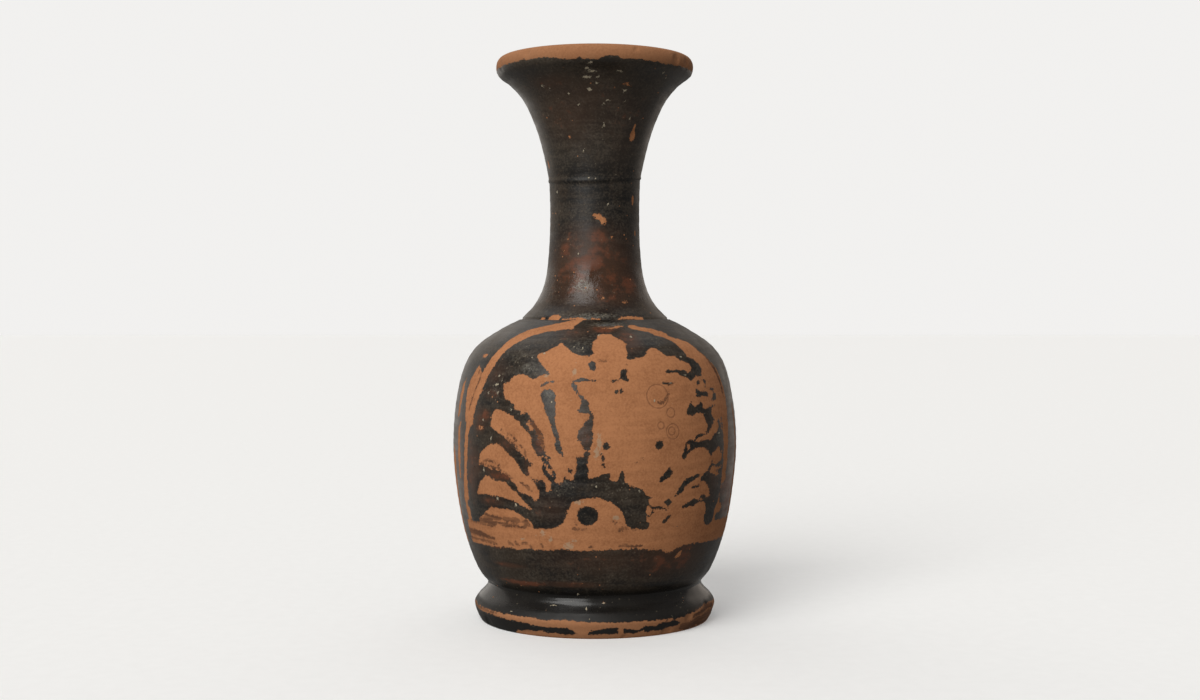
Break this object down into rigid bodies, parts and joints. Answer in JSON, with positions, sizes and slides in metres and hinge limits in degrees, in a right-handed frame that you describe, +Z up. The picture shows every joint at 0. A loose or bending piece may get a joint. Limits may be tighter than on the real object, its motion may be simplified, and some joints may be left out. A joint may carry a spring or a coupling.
{
  "type": "squat lekythos",
  "caption": "Hollow fired-clay oil flask with a round body, ring foot, narrow neck, trumpet mouth and a strap handle behind the neck.",
  "frame": {"origin": "centre of the resting plane under the ring foot, on the vessel's upright axis", "axes": "+Z up the vessel's axis to the mouth, -Y towards the painted front, +Y towards the handle"},
  "size_m": [0.0764, 0.0764, 0.15],
  "materials": {
    "slipped_clay": "worn black gloss slip over orange clay, with a reserved palmette in front"
  },
  "bodies": {
    "root": {"vessel": "slipped_clay"}
  },
  "joints": []
}
